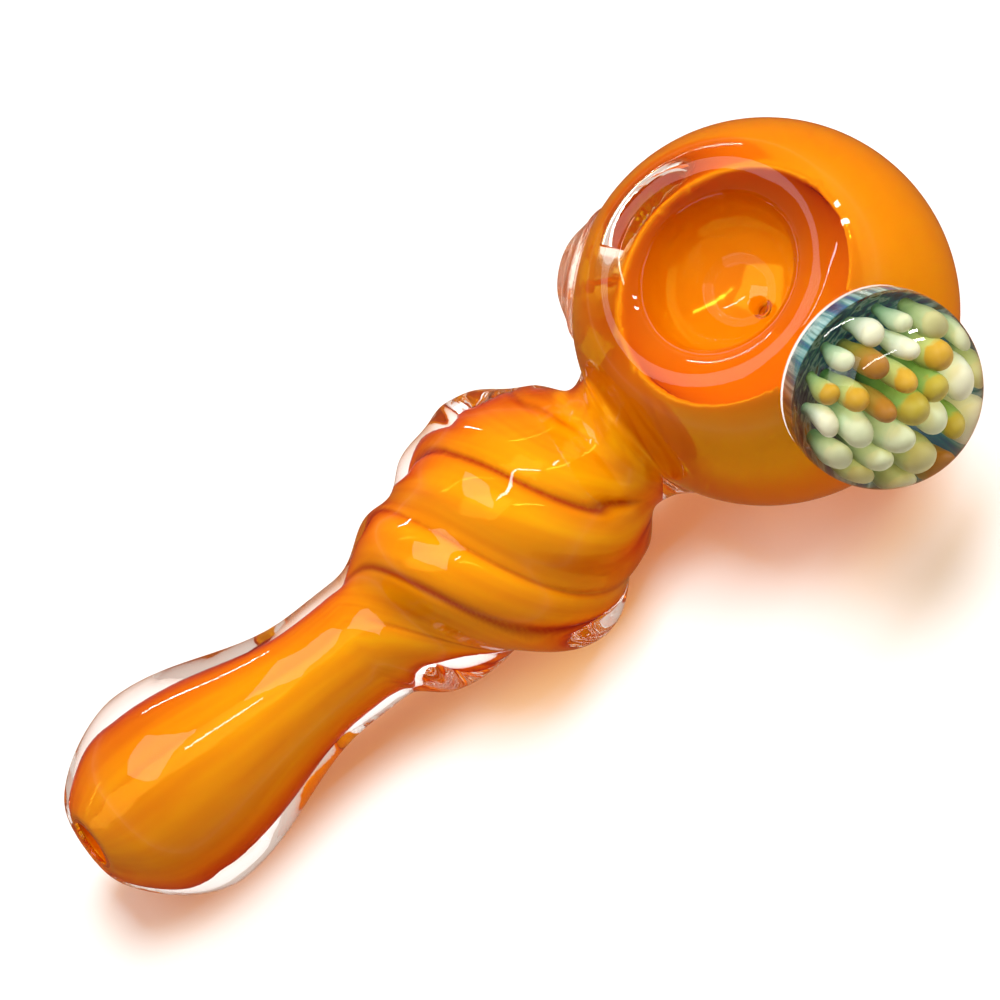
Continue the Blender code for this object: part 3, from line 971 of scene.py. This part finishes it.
def add_math(nodes, links, operation, first, second):
    """The first value is another node's output, and the second is that or a fixed number."""
    node = nodes.new("ShaderNodeMath")
    node.operation = operation
    links.new(first, node.inputs[0])
    if isinstance(second, float):
        node.inputs[1].default_value = second
    else:
        links.new(second, node.inputs[1])
    return node.outputs[0]


def make_world():
    """A dim warm room for reflections, a pale sky seen through glass and a pale backdrop."""
    world = bpy.data.worlds.new("room")
    world.use_nodes = True
    bpy.context.scene.world = world
    nodes = world.node_tree.nodes
    links = world.node_tree.links
    axes = nodes.new("ShaderNodeSeparateXYZ")
    links.new(nodes.new("ShaderNodeTexCoord").outputs["Generated"], axes.inputs[0])
    height = nodes.new("ShaderNodeMapRange")
    height.inputs["From Min"].default_value = -1.0
    links.new(axes.outputs["Z"], height.inputs["Value"])
    sky = add_ramp(nodes, links, height.outputs[0], SKY)
    path = nodes.new("ShaderNodeLightPath")
    seen = add_math(nodes, links, "LESS_THAN", path.outputs["Diffuse Depth"], 0.5)
    through = add_math(nodes, links, "MULTIPLY", path.outputs["Is Transmission Ray"], seen)
    tinted = mix_colours(nodes, links, through, sky, SKY_THROUGH_GLASS)
    shown = mix_colours(nodes, links, path.outputs["Is Camera Ray"], tinted, BACKDROP)
    links.new(shown, nodes["Background"].inputs["Color"])
    nodes["Background"].inputs["Strength"].default_value = 1.0


def softbox(name, direction, distance, size, radiance):
    """A flat lamp that faces the pipe. Radiance is what a mirror would show of it."""
    width, height = size
    light = bpy.data.lights.new(name, "AREA")
    light.shape = "RECTANGLE"
    light.size = width
    light.size_y = height
    light.energy = radiance * math.pi * width * height
    lamp = bpy.data.objects.new(name, light)
    bpy.context.scene.collection.objects.link(lamp)
    away = Vector(direction).normalized()
    lamp.location = LAMP_TARGET + away * distance
    lamp.rotation_euler = away.to_track_quat("Z", "Y").to_euler()
    return lamp


def make_lights():
    for lamp in LAMPS:
        softbox(*lamp)
    key = softbox(*KEY)
    key.visible_glossy = False
    key.visible_transmission = False


# ---------------------------------------------------------------- build

make_camera()
make_world()
make_lights()
make_floor()
make_casing()
make_lining()
make_carb_ring()
make_lens()
make_backing()
make_petals()
bpy.context.scene.view_settings.view_transform = "Standard"
# Light bounces many times inside the clear ridges, which would otherwise turn black.
bpy.context.scene.cycles.max_bounces = MOST_BOUNCES
bpy.context.scene.cycles.glossy_bounces = GLASS_BOUNCES
bpy.context.scene.cycles.transmission_bounces = GLASS_BOUNCES
